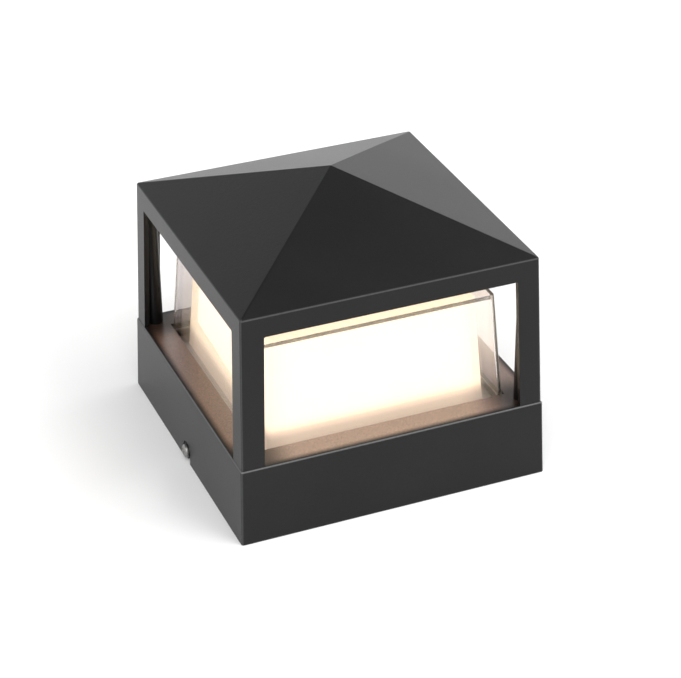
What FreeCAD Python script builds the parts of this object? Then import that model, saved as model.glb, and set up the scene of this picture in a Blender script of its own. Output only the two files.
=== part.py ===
"""Square outdoor light for the top of a deck post: a cast hood with four open windows and a pyramid
roof, standing on a cast base. A clear shade with an opal diffuser inside it rises through the base's
deck. The lamp drops over a mounting bar on the post, and one screw in each side holds it there.

Millimetres, +Z up. The origin is the middle of the base's foot, on the top of the post.
"""

import math
import os

import FreeCAD
import Part

Vec = FreeCAD.Vector
UP = Vec(0, 0, 1)

# ---- driving sizes -------------------------------------------------------------------------------
# base casting
BASE_WIDTH = 150.0
CAST_DRAFT_DEG = 2.0
BASE_WALL = 3.0
DECK_THICKNESS = 3.0
BASE_EDGE_ROUND = 1.1
CAST_CORNER_ROUND = 1.2
COVER_LEDGE_WIDTH = 1.8
DECK_RIM = 13.17
PILLAR_WALL = 2.0
PLATE_BOSS_WALL = 1.2
PLATE_BOSS_GAP = 0.4

# hood casting
HOOD_STEP = 0.5
HOOD_WALL_HEIGHT = 74.2
ROOF_RISE = 27.4
EAVE_CHAMFER = 0.4
HOOD_WALL = 2.5
ROOF_WALL = 3.0
POST_WIDTH = 10.8
RAIL_HEIGHT = 9.9
WINDOW_CORNER_ROUND = 0.8
HOOD_BOSS_RADIUS = 3.6
HOOD_BOSS_INSET = 6.9
HOOD_BOSS_WEB = 2.4

# clear shade and opal diffuser
SHADE_GAP = 0.7
SHADE_RISE = 51.3
SHADE_DRAFT_DEG = 3.9
SHADE_WALL = 3.2
SHADE_TOP = 3.5
SHADE_CORNER_ROUND = 3.0
SHADE_EDGE_ROUND = 1.0
FLANGE_OVERLAP = 2.4
FLANGE_THICKNESS = 3.0
FLANGE_CORNER = 1.5
SHADE_GASKET = 1.0
DIFFUSER_GAP = 3.6
DIFFUSER_HEADROOM = 1.5
DIFFUSER_WALL = 2.0
DIFFUSER_CORNER_ROUND = 2.5
DIFFUSER_GROOVE_DEPTH = 1.0
DIFFUSER_FIT = 0.15
OPENING_CORNER_ROUND = 0.4
GASKET_MARGIN = 0.2

# heat-sink plate and light source
PLATE_THICKNESS = 3.0
PLATE_CLEARANCE = 0.5
BOARD_MARGIN = 6.3
BOARD_CORNER_ROUND = 3.0
BOARD_THICKNESS = 1.6
BOARD_SCREW_INSET = 5.0
PAD_THICKNESS = 0.4
LEDS_PER_SIDE = 5
LED_EDGE_MARGIN = 15.0
LED_PITCH_STEP = 1.0
LED_LENGTH = 3.5
LED_WIDTH = 2.8
LED_HEIGHT = 0.8
LEAD_HOLE_RADIUS = 4.0
CONNECTOR_LENGTH = 5.0
CONNECTOR_WIDTH = 8.0
CONNECTOR_HEIGHT = 4.0
CONNECTOR_GAP = 0.6
CONNECTOR_PITCH = 4.0

# electrics under the plate
DRIVER_LENGTH = 62.0
DRIVER_WIDTH = 30.0
DRIVER_HEIGHT = 14.0
DRIVER_EAR = 7.0
DRIVER_EAR_THICKNESS = 2.5
DRIVER_CORNER_ROUND = 2.0
DRIVER_PLACE_Y = 24.0
TERMINAL_POLES = 3
TERMINAL_PITCH = 10.0
TERMINAL_DEPTH = 17.0
TERMINAL_HEIGHT = 12.5
TERMINAL_PLACE_Y = -26.0
TERMINAL_GROOVE = 1.2
TERMINAL_FOOT = 3.0
TERMINAL_EAR = 7.0
TERMINAL_ENTRY_RADIUS = 1.9
TERMINAL_ENTRY_HEIGHT = 6.0
CLAMP_SCREW_PLACE = 4.0
CLAMP_SCREW_LENGTH = 4.0
CLAMP_SCREW_DEPTH = 0.4
CLAMP_SLOT_WIDTH = 0.6
CLAMP_SLOT_DEPTH = 0.8
EARTH_GAP = 19.0
EARTH_RING_RADIUS = 3.4
EARTH_TAG_LENGTH = 9.0
EARTH_TAG_WIDTH = 3.2
EARTH_TAG_THICKNESS = 0.8
EARTH_SCREW_LENGTH = 3.0
ELECTRICS_CLEARANCE = 2.0
LEAD_RADIUS = 0.9
MAINS_LEAD_PLACE = 14.0
MAINS_LEAD_SPACING = 4.0
BOARD_LEAD_SPACING = 6.0
BOARD_LEAD_DROP = 6.0
BOARD_LEAD_BEND = 4.0
EARTH_LEAD_BEND = 6.0

# bottom cover
COVER_THICKNESS = 2.0
COVER_HEIGHT = 10.0
COVER_CLEARANCE = 0.4
COVER_GASKET = 1.0
GROMMET_RADIUS = 11.0
GROMMET_LIP = 1.5
GROMMET_LIP_THICKNESS = 1.6
CABLE_RADIUS = 3.5
VENT_RADIUS = 4.0
VENT_PLACE_X = 40.0
VENT_PLACE_Y = 34.0
VENT_FLANGE = 2.0
VENT_CAP_HEIGHT = 2.4
VENT_CAP_ROUND = 0.8
VENT_HOLE_RADIUS = 1.0

# mounting bar on the post
BAR_WIDTH = 36.0
BAR_THICKNESS = 2.0
TAB_WIDTH = 18.0
TAB_TOP = 9.0
TAB_CLEARANCE = 0.5
TAB_RELIEF = 6.0
BAR_BEND_ROUND = 1.0
BAR_CABLE_HOLE_RADIUS = 12.0
POST_HOLE_RADIUS = 2.75
POST_HOLE_PLACE_X = 38.0
POST_HOLE_PLACE_Y = 11.0

# side screws, M4 with a small flat washer
SIDE_SCREW_HEIGHT = 5.0
SIDE_NUT_THICKNESS = 3.2
SIDE_NUT_RADIUS = 2.9
SIDE_SCREW_TIP = 1.5
SEAT_DEPTH = 0.7
SEAT_WIDTH = 9.4
WASHER_RADIUS = 4.0
WASHER_THICKNESS = 0.5
WASHER_GAP = 0.05

# screw sizes: thread radius, head radius, head height
M4_THREAD, M4_HEAD, M4_HEAD_HEIGHT = 2.0, 4.0, 2.4
M3_THREAD, M3_HEAD, M3_HEAD_HEIGHT = 1.5, 2.8, 2.0
THREAD_GAP = 0.05
CLEARANCE_HOLE_GAP = 0.25
CROSS_WIDTH = 1.0
CROSS_REACH = 0.55
CROSS_DEPTH = 0.5
HEAD_ROUND = 0.45
HOOD_SCREW_BITE = 12.0
PLATE_SCREW_LENGTH = 8.0
SMALL_SCREW_LENGTH = 4.6

# ---- sizes that follow ---------------------------------------------------------------------------
# The base is as high as what it holds: cover, electrics, plate, flange, gasket and deck.
COVER_TOP = COVER_HEIGHT + COVER_THICKNESS
PLATE_UNDER = COVER_TOP + ELECTRICS_CLEARANCE + max(DRIVER_HEIGHT, TERMINAL_HEIGHT)
PLATE_TOP = PLATE_UNDER + PLATE_THICKNESS
FLANGE_TOP = PLATE_TOP + FLANGE_THICKNESS
DECK_UNDER = FLANGE_TOP + SHADE_GASKET
BASE_HEIGHT = DECK_UNDER + DECK_THICKNESS
DRAFT = math.tan(math.radians(CAST_DRAFT_DEG))
SHADE_DRAFT = math.tan(math.radians(SHADE_DRAFT_DEG))
EAVE_HEIGHT = BASE_HEIGHT + HOOD_WALL_HEIGHT
LEDGE_HEIGHT = COVER_TOP + COVER_GASKET
HOOD_FOOT_HALF = BASE_WIDTH / 2 - BASE_HEIGHT * DRAFT - HOOD_STEP
WINDOW_TOP = EAVE_HEIGHT - RAIL_HEIGHT
OPENING_HALF = BASE_WIDTH / 2 - BASE_HEIGHT * DRAFT - DECK_RIM
SHADE_FOOT_HALF = OPENING_HALF - SHADE_GAP
SHADE_TOP_HEIGHT = BASE_HEIGHT + SHADE_RISE
FLANGE_HALF = OPENING_HALF + FLANGE_OVERLAP
BOSS_PLACE = HOOD_FOOT_HALF - HOOD_BOSS_INSET
PILLAR_RADIUS = M4_THREAD + CLEARANCE_HOLE_GAP + PILLAR_WALL
CORNER_REACH = 2 * BOSS_PLACE - math.sqrt(2) * (PILLAR_RADIUS + PLATE_CLEARANCE)
PLATE_SCREW_PLACE = FLANGE_HALF + PLATE_BOSS_GAP + PLATE_BOSS_WALL + M3_THREAD
PLATE_HALF = BASE_WIDTH / 2 - DECK_UNDER * DRAFT - BASE_WALL - COVER_LEDGE_WIDTH - PLATE_CLEARANCE
BOARD_UNDER = PLATE_TOP + PAD_THICKNESS
BOARD_TOP = BOARD_UNDER + BOARD_THICKNESS
COVER_HALF = BASE_WIDTH / 2 - COVER_TOP * DRAFT - BASE_WALL - COVER_CLEARANCE
SEAT_FACE = BASE_WIDTH / 2 - SIDE_SCREW_HEIGHT * DRAFT - SEAT_DEPTH
TAB_FACE = BASE_WIDTH / 2 - TAB_TOP * DRAFT - BASE_WALL - TAB_CLEARANCE
CORNERS = [(1, 1), (-1, 1), (-1, -1), (1, -1)]


# ---- helpers -------------------------------------------------------------------------------------
def base_half(z):
    """Half the outer width of the base at height z, on its drafted wall."""
    return BASE_WIDTH / 2 - z * DRAFT


def hood_half(z):
    """Half the outer width of the hood at height z."""
    return HOOD_FOOT_HALF - (z - BASE_HEIGHT) * DRAFT


def shade_half(z):
    """Half the outer width of the clear shade at height z."""
    return SHADE_FOOT_HALF - (z - BASE_HEIGHT) * SHADE_DRAFT


def square_wire(half, radius, z):
    """A square with round corners, centred on the axis at height z."""
    flat = half - radius
    bulge = flat + radius / math.sqrt(2)
    edges = []
    for turn in range(4):
        spin = FreeCAD.Rotation(UP, 90 * turn)
        side = Part.LineSegment(spin * Vec(half, -flat, z), spin * Vec(half, flat, z))
        corner = Part.Arc(
            spin * Vec(half, flat, z), spin * Vec(bulge, bulge, z), spin * Vec(flat, half, z)
        )
        edges += [side.toShape(), corner.toShape()]
    return Part.Wire(edges)


def tapered(half_low, z_low, half_high, z_high, radius_low, radius_high=None):
    """A solid square block with round corners whose walls lean by its draft."""
    radius_high = radius_low if radius_high is None else radius_high
    ends = [square_wire(half_low, radius_low, z_low), square_wire(half_high, radius_high, z_high)]
    return Part.makeLoft(ends, True, True)


def cylinder(radius, x, y, z_low, z_high):
    return Part.makeCylinder(radius, z_high - z_low, Vec(x, y, z_low), UP)


def block(x_low, x_high, y_low, y_high, z_low, z_high):
    return Part.makeBox(x_high - x_low, y_high - y_low, z_high - z_low, Vec(x_low, y_low, z_low))


def octagon_plate(half, z_low, z_high):
    """A square plate whose corners are cut back to clear the corner pillars."""
    cut = min(CORNER_REACH - half, half - FLANGE_CORNER)
    outline = []
    for turn in range(4):
        spin = FreeCAD.Rotation(UP, 90 * turn)
        outline += [spin * Vec(half, -cut, z_low), spin * Vec(half, cut, z_low)]
    face = Part.Face(Part.makePolygon(outline + outline[:1]))
    return face.extrude(Vec(0, 0, z_high - z_low))


def side_places(distance):
    """The middle of each of the four sides, at that distance from the axis."""
    return [(distance, 0), (0, distance), (-distance, 0), (0, -distance)]


def joined(solids):
    return solids[0].fuse(solids[1:]).removeSplitter()


def pan_screw(x, y, seat_z, length, thread, head, head_height):
    """A pan-head screw with a cross recess, driven upwards, its head under seat_z."""
    shank = cylinder(thread, x, y, seat_z, seat_z + length)
    crown = Part.makeCylinder(head, head_height, Vec(x, y, seat_z - head_height), UP)
    crown = crown.makeFillet(head_height * HEAD_ROUND, [edge_at_height(crown, seat_z - head_height)])
    screw = crown.fuse(shank).removeSplitter()
    depth = head_height * CROSS_DEPTH
    bottom = seat_z - head_height
    half = head * CROSS_REACH
    for length_x, length_y in ((half, CROSS_WIDTH / 2), (CROSS_WIDTH / 2, half)):
        slot = block(x - length_x, x + length_x, y - length_y, y + length_y, bottom, bottom + depth)
        screw = screw.cut(slot)
    return screw


def edge_at_height(shape, z):
    """The closed round edge of a turned piece at height z."""
    rounds = [e for e in shape.Edges if e.Curve.TypeId == "Part::GeomCircle"]
    return min(rounds, key=lambda e: abs(e.CenterOfMass.z - z))


def lead(points):
    """An insulated lead through the points: straight runs joined by tangent arcs."""
    edges = []
    start = points[0]
    for before, corner, after in zip(points, points[1:], points[2:]):
        way_in = (corner - before).normalize()
        way_out = (after - corner).normalize()
        turn = way_in.getAngle(way_out)
        shorter = min((corner - before).Length, (after - corner).Length)
        setback = 0.45 * shorter
        radius = setback / math.tan(turn / 2)
        arc_start = corner - way_in * setback
        arc_end = corner + way_out * setback
        inward = (way_out - way_in).normalize()
        middle = corner + inward * (math.hypot(radius, setback) - radius)
        edges.append(Part.LineSegment(start, arc_start).toShape())
        edges.append(Part.Arc(arc_start, middle, arc_end).toShape())
        start = arc_end
    edges.append(Part.LineSegment(start, points[-1]).toShape())
    path = Part.Wire(edges)
    ring = Part.Wire(Part.Circle(points[0], points[1] - points[0], LEAD_RADIUS).toShape())
    return path.makePipeShell([ring], True, False)


# ---- castings ------------------------------------------------------------------------------------
def base_housing():
    """The cast base: a drafted skirt under a flat deck, with a rebate for the cover."""
    outer = tapered(base_half(0), 0, base_half(BASE_HEIGHT), BASE_HEIGHT, CAST_CORNER_ROUND)
    rim = [e for e in outer.Edges if all(abs(v.Point.z - BASE_HEIGHT) < 1e-6 for v in e.Vertexes)]
    outer = outer.makeFillet(BASE_EDGE_ROUND, rim)
    inner_corner = CAST_CORNER_ROUND + 1.0
    foot_room = tapered(
        base_half(-1) - BASE_WALL, -1, base_half(LEDGE_HEIGHT) - BASE_WALL, LEDGE_HEIGHT, inner_corner
    )
    thick = BASE_WALL + COVER_LEDGE_WIDTH
    upper_room = tapered(
        base_half(0) - thick, 0, base_half(DECK_UNDER) - thick, DECK_UNDER, inner_corner
    )
    opening = tapered(
        OPENING_HALF, DECK_UNDER - 1, OPENING_HALF, BASE_HEIGHT + 1, OPENING_CORNER_ROUND
    )
    shell = outer.cut(foot_room).cut(upper_room).cut(opening)
    return shell.fuse(base_bosses(outer)).removeSplitter().cut(base_holes())


def base_bosses(outer):
    """Corner pillars for the long screws, and short bosses for the heat-sink plate's screws."""
    web = M3_THREAD + PLATE_BOSS_WALL
    bosses = []
    for sx, sy in CORNERS:
        x, y = sx * BOSS_PLACE, sy * BOSS_PLACE
        reach = base_half(0)
        pillar = cylinder(PILLAR_RADIUS, x, y, LEDGE_HEIGHT, DECK_UNDER)
        corner = block(
            min(x, sx * reach), max(x, sx * reach), min(y, sy * reach), max(y, sy * reach),
            LEDGE_HEIGHT, DECK_UNDER,
        )
        bosses += [pillar, corner.common(outer)]
    for x, y in side_places(PLATE_SCREW_PLACE):
        bosses.append(cylinder(web, x, y, PLATE_TOP, DECK_UNDER))
    return bosses


def base_holes():
    """Screw holes in the bosses, and the open-ended side slots that drop over the side screws."""
    holes = []
    for sx, sy in CORNERS:
        radius = M4_THREAD + CLEARANCE_HOLE_GAP
        holes.append(cylinder(radius, sx * BOSS_PLACE, sy * BOSS_PLACE, 0, BASE_HEIGHT + 1))
    tip = PLATE_UNDER + PLATE_SCREW_LENGTH
    for x, y in side_places(PLATE_SCREW_PLACE):
        holes.append(cylinder(M3_THREAD + THREAD_GAP, x, y, PLATE_UNDER, tip + THREAD_GAP))
    slot_radius = M4_THREAD + CLEARANCE_HOLE_GAP
    outside = BASE_WIDTH / 2 + 1
    for side in (1, -1):
        low, high = sorted((side * (TAB_FACE - 1), side * outside))
        holes.append(open_slot(low, high, slot_radius))
        low, high = sorted((side * SEAT_FACE, side * outside))
        holes.append(open_slot(low, high, SEAT_WIDTH / 2))
    return holes


def open_slot(x_low, x_high, radius):
    """A round-topped slot through a side wall, open at the foot."""
    top = Part.makeCylinder(radius, x_high - x_low, Vec(x_low, 0, SIDE_SCREW_HEIGHT), Vec(1, 0, 0))
    return top.fuse(block(x_low, x_high, -radius, radius, -1, SIDE_SCREW_HEIGHT))


def hood():
    """The cast hood: a pyramid roof on four L-shaped corner posts."""
    outer = hood_outside()
    shell = outer.cut(hood_inside())
    for turn in (0, 90):
        for side in (0, 180):
            cutter = window_cutter()
            cutter.rotate(Vec(0, 0, 0), UP, turn + side)
            shell = shell.cut(cutter)
    columns = []
    pilots = []
    for sx, sy in CORNERS:
        columns.append(boss_column(sx, sy).common(outer))
        top = BASE_HEIGHT + HOOD_SCREW_BITE + 1
        pilots.append(
            cylinder(M4_THREAD + THREAD_GAP, sx * BOSS_PLACE, sy * BOSS_PLACE, BASE_HEIGHT - 1, top)
        )
    return shell.fuse(columns).removeSplitter().cut(pilots)


def hood_outside():
    """Drafted walls, a narrow chamfer along the eaves and the four roof faces."""
    chamfer_low = EAVE_HEIGHT - EAVE_CHAMFER
    half = hood_half(chamfer_low)
    walls = tapered(hood_half(BASE_HEIGHT), BASE_HEIGHT, half, chamfer_low, CAST_CORNER_ROUND)
    tip = EAVE_HEIGHT + ROOF_RISE
    eave_half = half - EAVE_CHAMFER
    slope = ROOF_RISE / half
    eave_z = tip - slope * eave_half
    edge = tapered(half, chamfer_low, eave_half, eave_z, CAST_CORNER_ROUND, CAST_CORNER_ROUND - EAVE_CHAMFER)
    eave = square_wire(eave_half, CAST_CORNER_ROUND - EAVE_CHAMFER, eave_z)
    roof = Part.makeLoft([eave, Part.Vertex(0, 0, tip)], True, True)
    return joined([walls, edge, roof])


def hood_inside():
    """The room under the roof, one wall inside the outer faces."""
    tip = EAVE_HEIGHT + ROOF_RISE
    slope = ROOF_RISE / hood_half(EAVE_HEIGHT)
    inner_tip = tip - ROOF_WALL * math.hypot(1, slope)
    inner_half = hood_half(EAVE_HEIGHT) - HOOD_WALL
    spring = inner_tip - slope * inner_half
    room = tapered(
        hood_half(BASE_HEIGHT - 1) - HOOD_WALL, BASE_HEIGHT - 1,
        hood_half(spring) - HOOD_WALL, spring, CAST_CORNER_ROUND,
    )
    ceiling = square_wire(hood_half(spring) - HOOD_WALL, CAST_CORNER_ROUND, spring)
    roof = Part.makeLoft([ceiling, Part.Vertex(0, 0, inner_tip)], True, True)
    return joined([room, roof])


def window_cutter():
    """One window's outline, open at the foot, pushed through the front wall only."""
    y_out = -(HOOD_FOOT_HALF + 1)
    y_in = -(hood_half(WINDOW_TOP) - HOOD_WALL - 0.5)
    low = BASE_HEIGHT - 1
    half_low = hood_half(low) - POST_WIDTH
    half_top = hood_half(WINDOW_TOP) - POST_WIDTH
    r = WINDOW_CORNER_ROUND
    bend = r * (1 - 1 / math.sqrt(2))
    corners = [
        Vec(-half_low, y_out, low), Vec(-half_top, y_out, WINDOW_TOP - r),
        Vec(-half_top + r, y_out, WINDOW_TOP), Vec(half_top - r, y_out, WINDOW_TOP),
        Vec(half_top, y_out, WINDOW_TOP - r), Vec(half_low, y_out, low),
    ]
    left_bend = Vec(-half_top + bend, y_out, WINDOW_TOP - bend)
    right_bend = Vec(half_top - bend, y_out, WINDOW_TOP - bend)
    edges = [
        Part.makeLine(corners[0], corners[1]),
        Part.Arc(corners[1], left_bend, corners[2]).toShape(),
        Part.makeLine(corners[2], corners[3]),
        Part.Arc(corners[3], right_bend, corners[4]).toShape(),
        Part.makeLine(corners[4], corners[5]),
        Part.makeLine(corners[5], corners[0]),
    ]
    return Part.Face(Part.Wire(edges)).extrude(Vec(0, y_in - y_out, 0))


def boss_column(sx, sy):
    """The round screw column inside a corner post, with the web that ties it to the corner."""
    top = EAVE_HEIGHT
    x, y = sx * BOSS_PLACE, sy * BOSS_PLACE
    column = cylinder(HOOD_BOSS_RADIUS, x, y, BASE_HEIGHT, top)
    reach = HOOD_BOSS_INSET * math.sqrt(2)
    web = block(0, reach, -HOOD_BOSS_WEB / 2, HOOD_BOSS_WEB / 2, BASE_HEIGHT, top)
    web.rotate(Vec(0, 0, 0), UP, math.degrees(math.atan2(sy, sx)))
    web.translate(Vec(x, y, 0))
    return column.fuse(web)


# ---- shade and light source ----------------------------------------------------------------------
def clear_shade():
    """The clear outer shade: a tapered cup with a clamping flange under the deck."""
    top = SHADE_TOP_HEIGHT
    cup = tapered(shade_half(PLATE_TOP), PLATE_TOP, shade_half(top), top, SHADE_CORNER_ROUND)
    rim = [e for e in cup.Edges if all(abs(v.Point.z - top) < 1e-6 for v in e.Vertexes)]
    cup = cup.makeFillet(SHADE_EDGE_ROUND, rim)
    ceiling = top - SHADE_TOP
    room = tapered(
        shade_half(PLATE_TOP - 1) - SHADE_WALL, PLATE_TOP - 1,
        shade_half(ceiling) - SHADE_WALL, ceiling, SHADE_CORNER_ROUND - 2,
    )
    flange = octagon_plate(FLANGE_HALF, PLATE_TOP, FLANGE_TOP)
    return cup.fuse(flange).removeSplitter().cut(room)


def shade_gasket():
    """The flat silicone ring between the shade's flange and the deck."""
    ring = octagon_plate(FLANGE_HALF, FLANGE_TOP, DECK_UNDER)
    hole = tapered(
        OPENING_HALF + GASKET_MARGIN, FLANGE_TOP - 1,
        OPENING_HALF + GASKET_MARGIN, DECK_UNDER + 1, OPENING_CORNER_ROUND,
    )
    return ring.cut(hole)


def diffuser_half(z):
    """Half the outer width of the opal diffuser at height z."""
    return shade_half(z) - SHADE_WALL - DIFFUSER_GAP


def opal_diffuser():
    """The opal cup that glows, standing in the plate's groove."""
    foot = PLATE_TOP - DIFFUSER_GROOVE_DEPTH
    top = SHADE_TOP_HEIGHT - SHADE_TOP - DIFFUSER_HEADROOM
    cup = tapered(diffuser_half(foot), foot, diffuser_half(top), top, DIFFUSER_CORNER_ROUND)
    rim = [e for e in cup.Edges if all(abs(v.Point.z - top) < 1e-6 for v in e.Vertexes)]
    cup = cup.makeFillet(SHADE_EDGE_ROUND, rim)
    ceiling = top - DIFFUSER_WALL
    room = tapered(
        diffuser_half(foot - 1) - DIFFUSER_WALL, foot - 1,
        diffuser_half(ceiling) - DIFFUSER_WALL, ceiling, DIFFUSER_CORNER_ROUND - 1.5,
    )
    return cup.cut(room)


def heat_sink_plate():
    """The aluminium plate that carries the light source and clamps the shade."""
    plate = octagon_plate(PLATE_HALF, PLATE_UNDER, PLATE_TOP)
    groove_low = PLATE_TOP - DIFFUSER_GROOVE_DEPTH
    outside = diffuser_half(groove_low) + DIFFUSER_FIT
    inside = diffuser_half(groove_low) - DIFFUSER_WALL - DIFFUSER_FIT
    band = tapered(outside, groove_low, outside, PLATE_TOP + 1, DIFFUSER_CORNER_ROUND)
    island = tapered(inside, groove_low - 1, inside, PLATE_TOP + 2, DIFFUSER_CORNER_ROUND - 1.5)
    holes = [band.cut(island), cylinder(LEAD_HOLE_RADIUS, 0, 0, PLATE_UNDER - 1, PLATE_TOP + 1)]
    for x, y in side_places(PLATE_SCREW_PLACE):
        radius = M3_THREAD + CLEARANCE_HOLE_GAP
        holes.append(cylinder(radius, x, y, PLATE_UNDER - 1, PLATE_TOP + 1))
    for x, y in board_screw_places():
        holes.append(cylinder(M3_THREAD + THREAD_GAP, x, y, PLATE_UNDER - 1, PLATE_TOP + 1))
    for x, y in driver_screw_places() + terminal_screw_places():
        holes.append(cylinder(M3_THREAD + THREAD_GAP, x, y, PLATE_UNDER - 1, PLATE_TOP + 1))
    x, y = earth_place()
    holes.append(cylinder(M3_THREAD + THREAD_GAP, x, y, PLATE_UNDER - 1, PLATE_TOP + 1))
    return plate.cut(holes)


def board_half():
    """Half the width of the board, which stands clear of the diffuser's wall."""
    return diffuser_half(PLATE_TOP) - DIFFUSER_WALL - BOARD_MARGIN


def board_screw_places():
    reach = board_half() - BOARD_SCREW_INSET
    return [(sx * reach, sy * reach) for sx, sy in CORNERS]


def board_outline(z_low, z_high):
    half = board_half()
    board = tapered(half, z_low, half, z_high, BOARD_CORNER_ROUND)
    holes = [cylinder(LEAD_HOLE_RADIUS, 0, 0, z_low - 1, z_high + 1)]
    for x, y in board_screw_places():
        holes.append(cylinder(M3_THREAD + CLEARANCE_HOLE_GAP, x, y, z_low - 1, z_high + 1))
    return board.cut(holes)


def led_pitch():
    """The widest pitch, in whole steps, that keeps the outer packages off the board's edge."""
    gaps = (LEDS_PER_SIDE - 1) / 2
    return math.floor((board_half() - LED_EDGE_MARGIN) / gaps / LED_PITCH_STEP) * LED_PITCH_STEP


def led_chips():
    """The light-emitting packages, in rows that leave the lead hole free."""
    chips = []
    middle = (LEDS_PER_SIDE - 1) / 2
    pitch = led_pitch()
    for row in range(LEDS_PER_SIDE):
        for column in range(LEDS_PER_SIDE):
            x = (column - middle) * pitch
            y = (row - middle) * pitch
            if math.hypot(x, y) < LEAD_HOLE_RADIUS + LED_LENGTH:
                continue
            chips.append(
                block(
                    x - LED_LENGTH / 2, x + LED_LENGTH / 2, y - LED_WIDTH / 2, y + LED_WIDTH / 2,
                    BOARD_TOP, BOARD_TOP + LED_HEIGHT,
                )
            )
    return Part.makeCompound(chips)


def connector_face():
    """The connector's face beside the lead hole."""
    return LEAD_HOLE_RADIUS + CONNECTOR_GAP


def board_connector():
    """The small white lead connector beside the hole in the board."""
    x = connector_face()
    half = CONNECTOR_WIDTH / 2
    body = block(x, x + CONNECTOR_LENGTH, -half, half, BOARD_TOP, BOARD_TOP + CONNECTOR_HEIGHT)
    for y in (-CONNECTOR_PITCH / 2, CONNECTOR_PITCH / 2):
        mouth = Vec(x, y, BOARD_TOP + CONNECTOR_HEIGHT / 2)
        radius = LEAD_RADIUS + THREAD_GAP
        body = body.cut(Part.makeCylinder(radius, CONNECTOR_LENGTH * 0.6, mouth, Vec(1, 0, 0)))
    return body


def board_screws():
    """Four small screws that press the board on to the plate, heads up."""
    screws = []
    for x, y in board_screw_places():
        screw = pan_screw(x, y, -BOARD_TOP, SMALL_SCREW_LENGTH, M3_THREAD, M3_HEAD, M3_HEAD_HEIGHT)
        screw.rotate(Vec(x, y, 0), Vec(1, 0, 0), 180)
        screws.append(screw)
    return Part.makeCompound(screws)


# ---- electrics -----------------------------------------------------------------------------------
def driver_screw_places():
    reach = DRIVER_LENGTH / 2 + DRIVER_EAR / 2
    return [(-reach, DRIVER_PLACE_Y), (reach, DRIVER_PLACE_Y)]


def led_driver():
    """The potted driver, with a fixing ear at each end."""
    half_y = DRIVER_WIDTH / 2
    case = block(
        -DRIVER_LENGTH / 2, DRIVER_LENGTH / 2, DRIVER_PLACE_Y - half_y, DRIVER_PLACE_Y + half_y,
        PLATE_UNDER - DRIVER_HEIGHT, PLATE_UNDER,
    )
    uprights = [e for e in case.Edges if abs(e.Vertexes[0].Point.z - e.Vertexes[1].Point.z) > 1]
    case = case.makeFillet(DRIVER_CORNER_ROUND, uprights)
    reach = DRIVER_LENGTH / 2 + DRIVER_EAR
    ears = block(
        -reach, reach, DRIVER_PLACE_Y - DRIVER_EAR, DRIVER_PLACE_Y + DRIVER_EAR,
        PLATE_UNDER - DRIVER_EAR_THICKNESS, PLATE_UNDER,
    )
    body = case.fuse(ears).removeSplitter()
    for x, y in driver_screw_places():
        radius = M3_THREAD + CLEARANCE_HOLE_GAP
        body = body.cut(cylinder(radius, x, y, PLATE_UNDER - DRIVER_HEIGHT, PLATE_UNDER + 1))
    return body


def terminal_foot_half():
    """Half the length of the terminal block's foot."""
    return TERMINAL_POLES * TERMINAL_PITCH / 2 + TERMINAL_EAR


def terminal_screw_places():
    reach = terminal_foot_half() - TERMINAL_EAR / 2
    return [(-reach, TERMINAL_PLACE_Y), (reach, TERMINAL_PLACE_Y)]


def terminal_pole_places():
    middle = (TERMINAL_POLES - 1) / 2
    return [(pole - middle) * TERMINAL_PITCH for pole in range(TERMINAL_POLES)]


def terminal_entry_height():
    """The height at which the leads leave the terminal block."""
    return PLATE_UNDER - TERMINAL_HEIGHT + TERMINAL_ENTRY_HEIGHT


def terminal_block():
    """The mains terminal block: one raised housing for each pole on a common foot."""
    foot_half = terminal_foot_half()
    low = PLATE_UNDER - TERMINAL_HEIGHT
    y_low, y_high = TERMINAL_PLACE_Y - TERMINAL_DEPTH / 2, TERMINAL_PLACE_Y + TERMINAL_DEPTH / 2
    body = block(-foot_half, foot_half, y_low, y_high, PLATE_UNDER - TERMINAL_FOOT, PLATE_UNDER)
    half = (TERMINAL_PITCH - TERMINAL_GROOVE) / 2
    for x in terminal_pole_places():
        body = body.fuse(block(x - half, x + half, y_low, y_high, low, PLATE_UNDER))
    body = body.removeSplitter()
    for x in terminal_pole_places():
        mouth = Vec(x, y_low, terminal_entry_height())
        body = body.cut(Part.makeCylinder(TERMINAL_ENTRY_RADIUS, TERMINAL_DEPTH, mouth, Vec(0, 1, 0)))
    for x, y in clamp_screw_places():
        top = low + CLAMP_SCREW_DEPTH + CLAMP_SCREW_LENGTH
        body = body.cut(cylinder(M3_THREAD + THREAD_GAP, x, y, low - 1, top + THREAD_GAP))
    for x, y in terminal_screw_places():
        body = body.cut(cylinder(M3_THREAD + CLEARANCE_HOLE_GAP, x, y, low - 1, PLATE_UNDER + 1))
    return body


def clamp_screw_places():
    rows = (TERMINAL_PLACE_Y - CLAMP_SCREW_PLACE, TERMINAL_PLACE_Y + CLAMP_SCREW_PLACE)
    return [(x, y) for x in terminal_pole_places() for y in rows]


def terminal_clamp_screws():
    """The slotted brass screws that clamp the wires, two for each pole."""
    screws = []
    head = PLATE_UNDER - TERMINAL_HEIGHT + CLAMP_SCREW_DEPTH
    half = CLAMP_SLOT_WIDTH / 2
    for x, y in clamp_screw_places():
        screw = cylinder(M3_THREAD, x, y, head, head + CLAMP_SCREW_LENGTH)
        slot = block(x - M3_THREAD, x + M3_THREAD, y - half, y + half, head, head + CLAMP_SLOT_DEPTH)
        screws.append(screw.cut(slot))
    return Part.makeCompound(screws)


def earth_place():
    """The earth screw's place, beside the terminal block."""
    return (terminal_foot_half() + EARTH_GAP, TERMINAL_PLACE_Y)


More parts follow.
